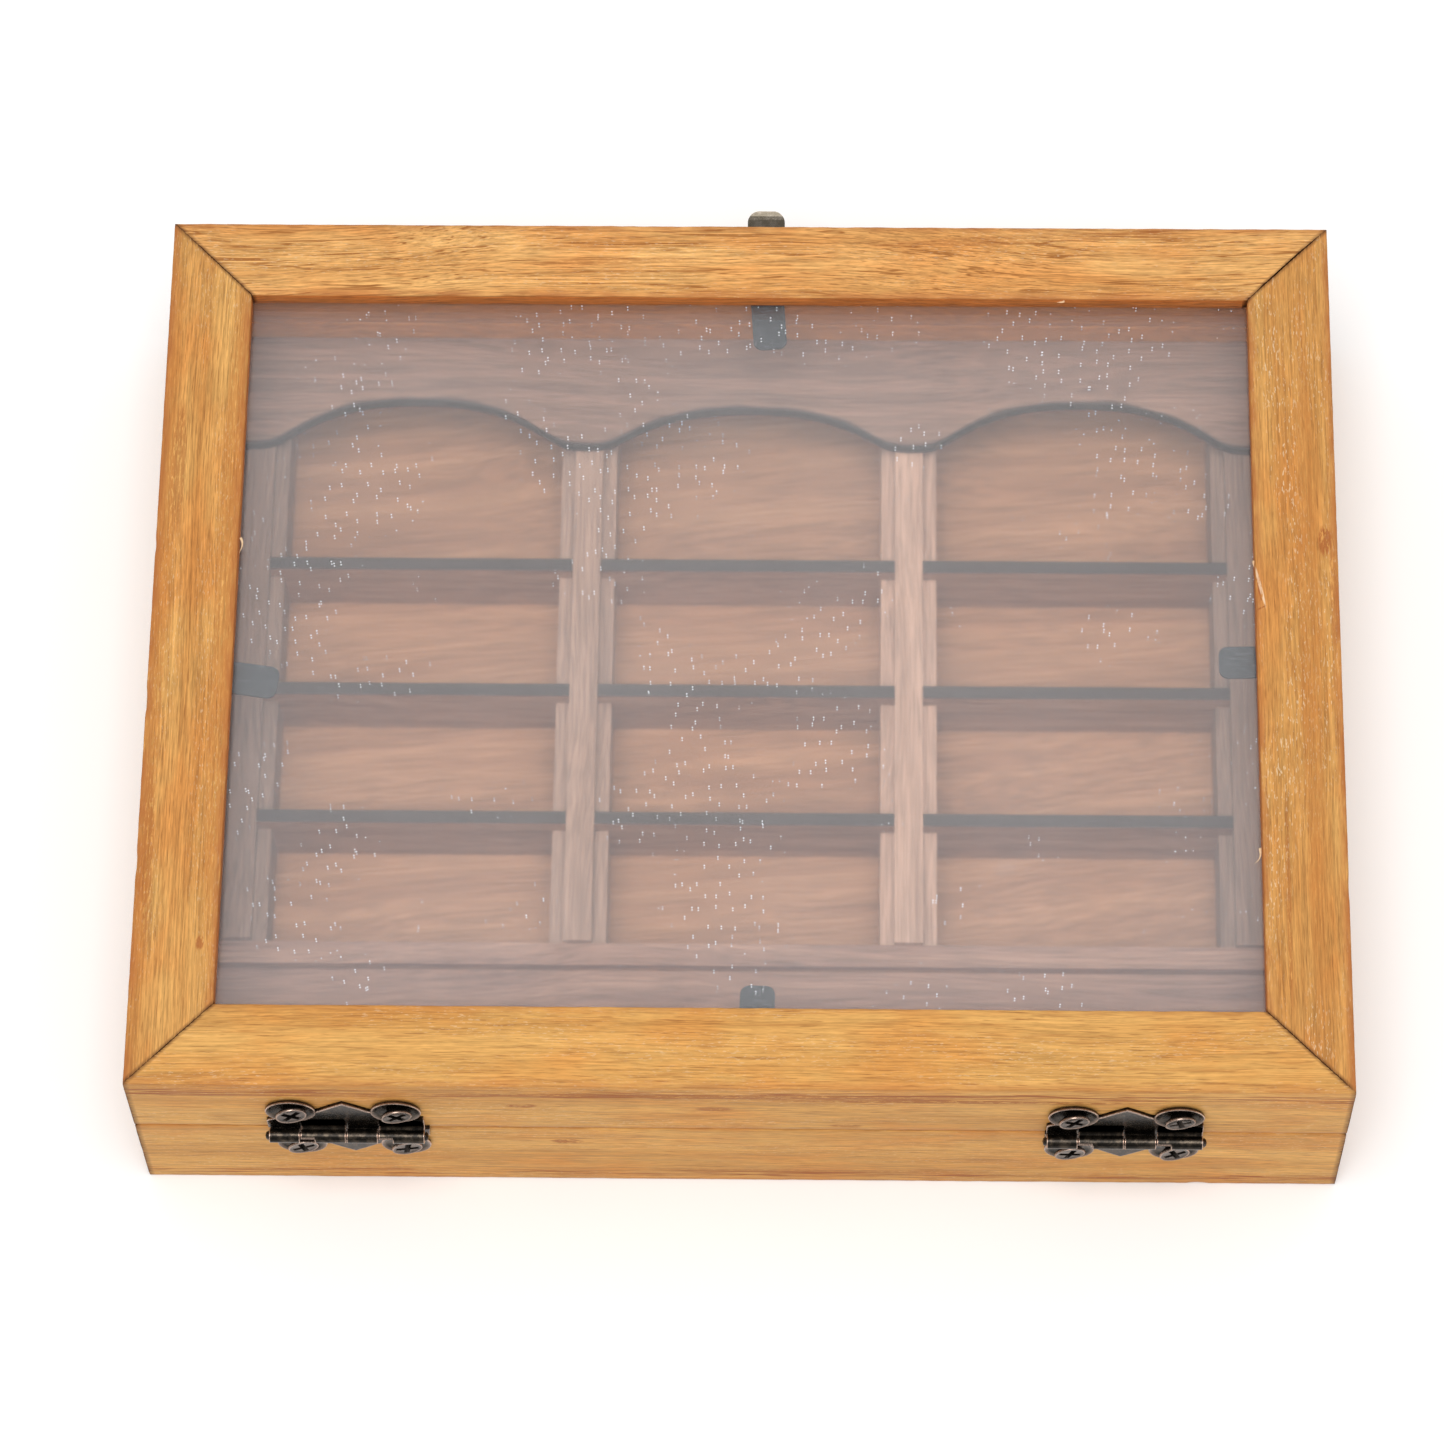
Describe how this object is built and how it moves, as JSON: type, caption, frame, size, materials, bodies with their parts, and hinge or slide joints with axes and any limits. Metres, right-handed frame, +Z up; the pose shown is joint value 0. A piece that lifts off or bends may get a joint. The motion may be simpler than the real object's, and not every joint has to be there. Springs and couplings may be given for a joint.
{
  "type": "tabletop display case",
  "caption": "Shallow wooden display case with a mitred frame, a shelved compartment rack and a hinged lid that holds a clear pane.",
  "frame": {"origin": "middle of the box's underside", "axes": "+X along the long side, +Y towards the latch side, away from the hinges, +Z up through the pane"},
  "size_m": [0.25, 0.2197, 0.054],
  "materials": {
    "frame_wood": "golden stained wood under a thin satin varnish",
    "rack_wood": "brown stained wood, satin, with charred cut edges",
    "back_wood": "orange-brown stained veneer, satin",
    "pane": "clear acrylic sheet with a faint haze",
    "tab_steel": "blackened thin steel",
    "bronze": "antique bronze plate, worn bright on the edges"
  },
  "bodies": {
    "box": {"box_near_wall": "frame_wood", "box_right_wall": "frame_wood", "box_far_wall": "frame_wood", "box_left_wall": "frame_wood", "back_panel": "back_wood", "post_1": "rack_wood", "post_2": "rack_wood", "post_3": "rack_wood", "post_4": "rack_wood", "shelf_left_1": "rack_wood", "shelf_left_2": "rack_wood", "shelf_left_3": "rack_wood", "shelf_middle_1": "rack_wood", "shelf_middle_2": "rack_wood", "shelf_middle_3": "rack_wood", "shelf_right_1": "rack_wood", "shelf_right_2": "rack_wood", "shelf_right_3": "rack_wood", "arched_header": "rack_wood", "rack_sill": "rack_wood", "front_ledge": "rack_wood", "left_hinge_box_leaf": "bronze", "right_hinge_box_leaf": "bronze", "left_hinge_pin": "bronze", "right_hinge_pin": "bronze", "left_hinge_box_screw_a": "bronze", "left_hinge_box_screw_b": "bronze", "right_hinge_box_screw_a": "bronze", "right_hinge_box_screw_b": "bronze", "catch_plate": "bronze", "catch_plate_screw_a": "bronze", "catch_plate_screw_b": "bronze"},
    "lid": {"lid_near_rail": "frame_wood", "lid_right_rail": "frame_wood", "lid_far_rail": "frame_wood", "lid_left_rail": "frame_wood", "pane": "pane", "pane_tab_far": "tab_steel", "pane_tab_left": "tab_steel", "pane_tab_right": "tab_steel", "pane_tab_near": "tab_steel", "left_hinge_lid_leaf": "bronze", "right_hinge_lid_leaf": "bronze", "left_hinge_lid_screw_a": "bronze", "left_hinge_lid_screw_b": "bronze", "right_hinge_lid_screw_a": "bronze", "right_hinge_lid_screw_b": "bronze", "latch_plate": "bronze", "latch_plate_screw_a": "bronze", "latch_plate_screw_b": "bronze", "latch_pin": "bronze"},
    "tongue": {"latch_tongue": "bronze"}
  },
  "joints": [
    {"name": "lid_hinge", "type": "hinge", "parent": "box", "child": "lid", "pos_m": [0, -0.1026, 0.03165], "axis": [1, 0, 0], "range_deg": [0, 180]},
    {"name": "latch_hinge", "type": "hinge", "parent": "lid", "child": "tongue", "pos_m": [0.0033, 0.1022, 0.0318], "axis": [1, 0, 0], "range_deg": [-90, 80]}
  ]
}
